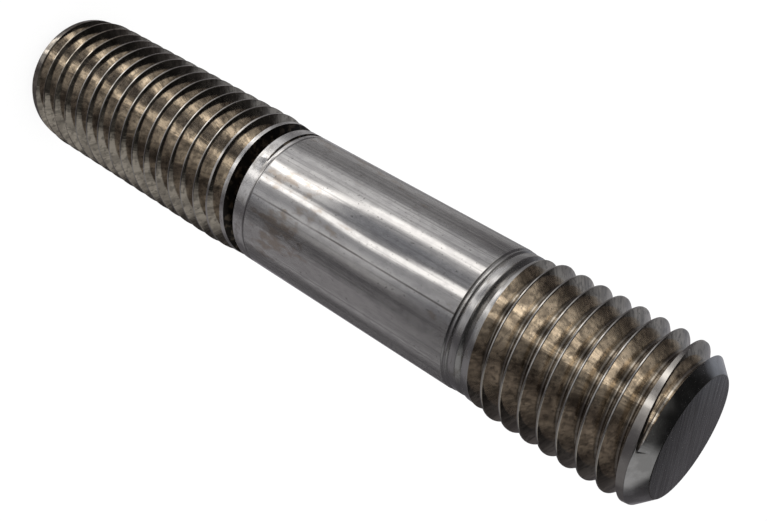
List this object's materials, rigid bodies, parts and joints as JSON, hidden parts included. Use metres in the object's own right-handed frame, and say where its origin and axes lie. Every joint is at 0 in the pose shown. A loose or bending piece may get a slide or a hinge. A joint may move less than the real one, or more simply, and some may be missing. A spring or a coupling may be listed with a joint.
{
  "type": "threaded stud",
  "caption": "Double-ended steel stud with a long nut end, a short tap end and a plain shank between the two threads.",
  "frame": {"origin": "centre of the nut end's flat face, on which the stud stands", "axes": "+Z along the stud's axis from the nut end to the tap end, and -Y towards the side that the picture shows"},
  "size_m": [0.0217, 0.0216, 0.119],
  "materials": {
    "turned_steel": "bright turned steel on the shank and faces, brown-tinted oiled steel in the threads, fine scratches and small pits"
  },
  "bodies": {
    "root": {"stud": "turned_steel"}
  },
  "joints": []
}
